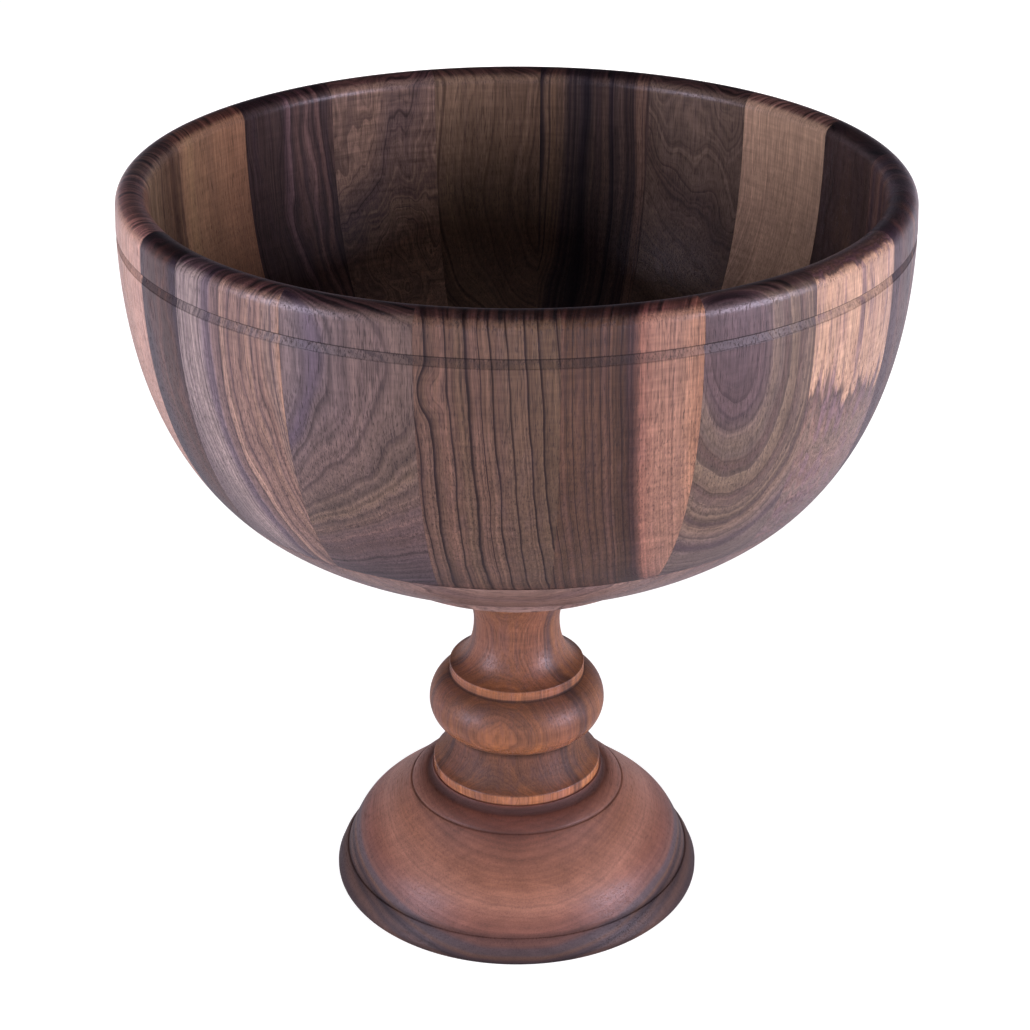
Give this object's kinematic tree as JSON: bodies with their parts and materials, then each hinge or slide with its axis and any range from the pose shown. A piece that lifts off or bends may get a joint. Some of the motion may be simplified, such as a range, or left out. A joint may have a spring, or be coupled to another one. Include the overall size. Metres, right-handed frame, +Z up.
{
  "type": "footed urn bowl",
  "caption": "Deep round wooden bowl of upright staves on a turned stem and a moulded round foot.",
  "frame": {"origin": "centre of the foot's underside, on the surface that the bowl stands on", "axes": "+Z up along the turning axis; -Y is the side that faces the camera"},
  "size_m": [0.301, 0.301, 0.3107],
  "materials": {
    "walnut_light": "oiled satin, light tan heartwood",
    "walnut_tan": "oiled satin, orange tan sapwood with dark streaks",
    "walnut_brown": "oiled satin, mid brown heartwood with dark growth lines",
    "walnut_grey": "oiled satin, grey brown heartwood with purple streaks",
    "walnut_sapwood": "oiled satin, pinkish steamed sapwood",
    "walnut_dark": "oiled satin, dark purple brown heartwood",
    "walnut_board": "oiled satin, grain running level across the board",
    "walnut_stem": "oiled satin, upright grain",
    "walnut_foot": "oiled satin, level grain in dished layers",
    "zinc_steel": "bright zinc plate"
  },
  "bodies": {
    "root": {"stave_01": "walnut_light", "stave_02": "walnut_brown", "stave_03": "walnut_dark", "stave_04": "walnut_brown", "stave_05": "walnut_dark", "stave_06": "walnut_brown", "stave_07": "walnut_light", "stave_08": "walnut_grey", "stave_09": "walnut_sapwood", "stave_10": "walnut_brown", "stave_11": "walnut_grey", "stave_12": "walnut_grey", "stave_13": "walnut_brown", "stave_14": "walnut_sapwood", "stave_15": "walnut_grey", "stave_16": "walnut_tan", "stave_17": "walnut_dark", "stave_18": "walnut_dark", "stave_19": "walnut_brown", "bowl_bottom_board": "walnut_board", "stem": "walnut_stem", "foot": "walnut_foot", "foot_screw": "zinc_steel", "foot_washer": "zinc_steel"}
  },
  "joints": []
}
